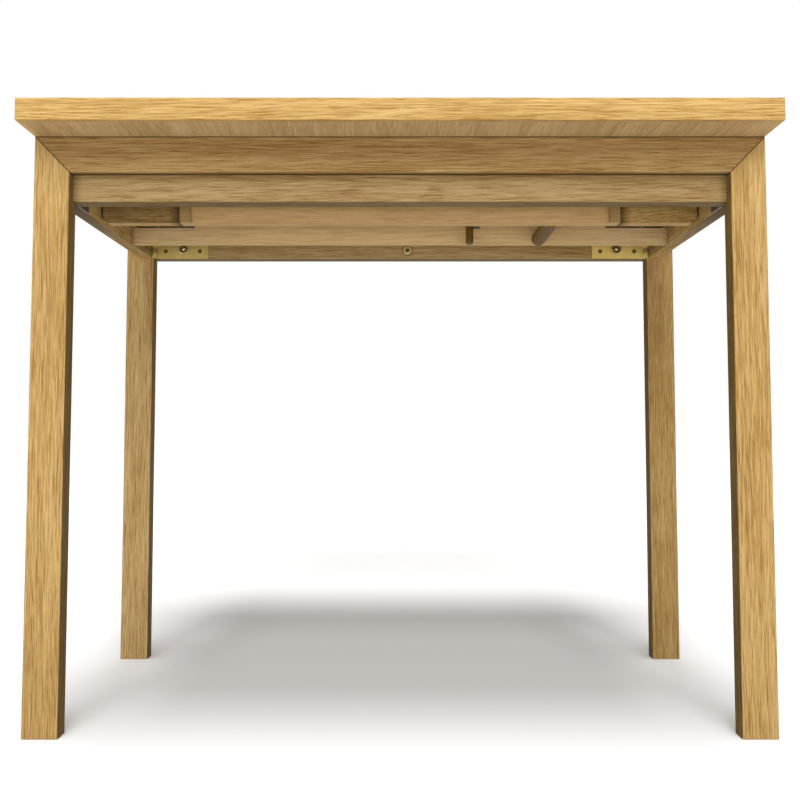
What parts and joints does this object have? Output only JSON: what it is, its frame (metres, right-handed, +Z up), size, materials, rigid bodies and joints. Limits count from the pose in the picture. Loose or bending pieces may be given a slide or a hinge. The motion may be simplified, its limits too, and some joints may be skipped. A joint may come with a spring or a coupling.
{
  "type": "drop leaf table",
  "caption": "Oak drop leaf table: fixed top, hinged rear leaf held up by pull-out slides, legs mitred to their rails.",
  "frame": {"origin": "on the floor, midway across the width and midway from the front edge of the top to the rear edge of the raised leaf", "axes": "+X to the right seen from the front, +Y from the fixed top towards the leaf, +Z up"},
  "size_m": [0.9084, 0.6916, 0.762],
  "materials": {
    "oak_top": "natural oak, oiled, satin",
    "oak_frame": "natural oak, oiled, satin",
    "rail_wood": "plain hardwood, sanded",
    "dowel_wood": "turned hardwood",
    "brass": "brushed brass, slightly dull",
    "dark_steel": "blued steel",
    "screw_steel": "brassed steel screws"
  },
  "bodies": {
    "frame": {"back_apron": "oak_frame", "centre_bolt": "brass", "corner_brackets": "dark_steel", "corner_hinge_bolts": "brass", "corner_hinge_pins": "brass", "cross_rail_front": "rail_wood", "cross_rail_rear": "rail_wood", "frame_dowels": "dowel_wood", "frame_screws": "screw_steel", "front_apron": "oak_frame", "front_left_leg": "oak_frame", "front_rail": "oak_frame", "front_right_leg": "oak_frame", "leaf_hinge_pins": "brass", "leaf_hinge_top_plates": "brass", "leaf_hinge_top_screws": "screw_steel", "left_corner_hinge_apron_leaf": "brass", "left_corner_hinge_side_leaf": "brass", "left_end_board": "rail_wood", "left_guide_block": "rail_wood", "left_side_apron": "oak_frame", "left_slide_guides": "rail_wood", "left_slide_runner": "rail_wood", "mitre_splines": "dowel_wood", "pin_block": "rail_wood", "pin_tab": "dark_steel", "rear_left_leg": "oak_frame", "rear_rail": "oak_frame", "rear_right_leg": "oak_frame", "right_corner_hinge_apron_leaf": "brass", "right_corner_hinge_side_leaf": "brass", "right_end_board": "rail_wood", "right_guide_block": "rail_wood", "right_side_apron": "oak_frame", "right_slide_guides": "rail_wood", "right_slide_runner": "rail_wood", "stop_pin": "brass", "tie_dowel": "dowel_wood", "top_button_screws": "screw_steel", "top_buttons": "rail_wood", "top_front_band": "oak_top", "top_left_band": "oak_top", "top_panel": "oak_top", "top_rear_band": "oak_top", "top_right_band": "oak_top"},
    "leaf": {"leaf_panel": "oak_top", "leaf_front_band": "oak_top", "leaf_rear_band": "oak_top", "leaf_left_band": "oak_top", "leaf_right_band": "oak_top", "leaf_hinge_leaf_plates": "brass", "leaf_hinge_leaf_screws": "screw_steel"},
    "left_slide": {"left_slide_carrier": "rail_wood", "left_slide_bar": "dark_steel", "left_slide_stop": "dowel_wood", "left_slide_screws": "screw_steel"},
    "right_slide": {"right_slide_carrier": "rail_wood", "right_slide_bar": "dark_steel", "right_slide_stop": "dowel_wood", "right_slide_screws": "screw_steel"}
  },
  "joints": [
    {"name": "leaf_hinge", "type": "hinge", "parent": "frame", "child": "leaf", "pos_m": [0, 0.0758, 0.7316], "axis": [1, 0, 0], "range_deg": [-90, 0]},
    {"name": "left_slide_pull", "type": "slide", "parent": "frame", "child": "left_slide", "axis": [0, 1, 0], "range_m": [0, 0.17]},
    {"name": "right_slide_pull", "type": "slide", "parent": "frame", "child": "right_slide", "axis": [0, 1, 0], "range_m": [0, 0.17]}
  ]
}
